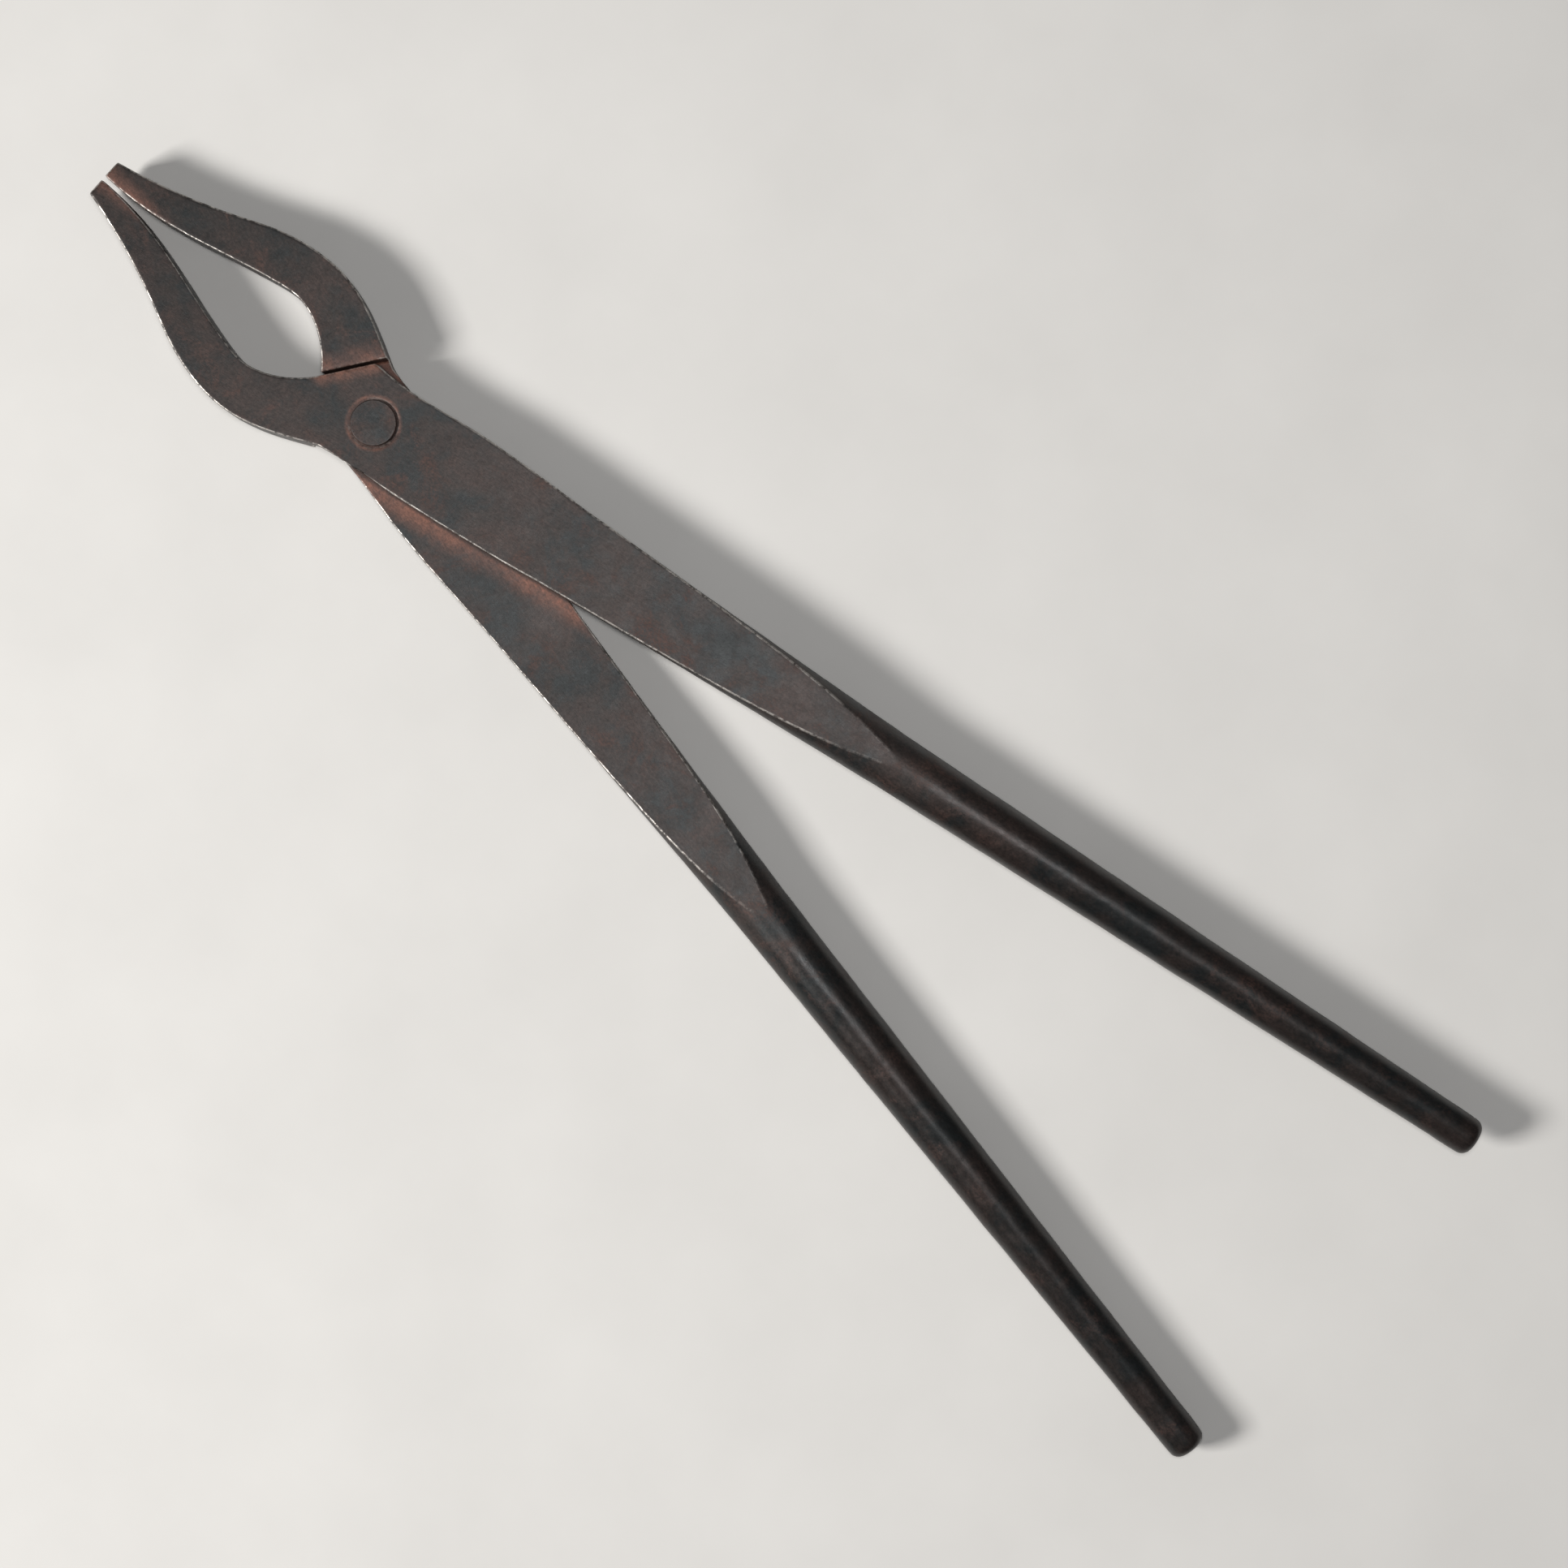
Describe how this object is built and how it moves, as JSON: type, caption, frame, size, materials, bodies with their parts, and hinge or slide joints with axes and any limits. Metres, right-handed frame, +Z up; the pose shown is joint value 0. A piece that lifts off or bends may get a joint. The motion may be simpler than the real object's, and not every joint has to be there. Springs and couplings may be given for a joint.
{
  "type": "blacksmith tongs",
  "caption": "Forged blacksmith tongs: two half-lapped halves crossing on a rivet, bowed jaws with blunt tips, flat roots and round tapering reins.",
  "frame": {"origin": "on the rivet's axis, at the flat end of its lower head", "axes": "+X along the tongs from the rivet towards the rein ends, +Y towards the upper half's rein, +Z up along the rivet's axis"},
  "size_m": [0.458, 0.1254, 0.0203],
  "materials": {
    "forged_iron": "dark forged scale with brown rust",
    "rivet_iron": "dark forged scale, worn at the rim"
  },
  "bodies": {
    "lower_half": {"bottom_half": "forged_iron", "rivet": "rivet_iron"},
    "upper_half": {"top_half": "forged_iron"}
  },
  "joints": [
    {"name": "rivet_hinge", "type": "hinge", "parent": "lower_half", "child": "upper_half", "pos_m": [0, 0, 0.00775], "axis": [0, 0, 1], "range_deg": [-0.4, 60]}
  ]
}
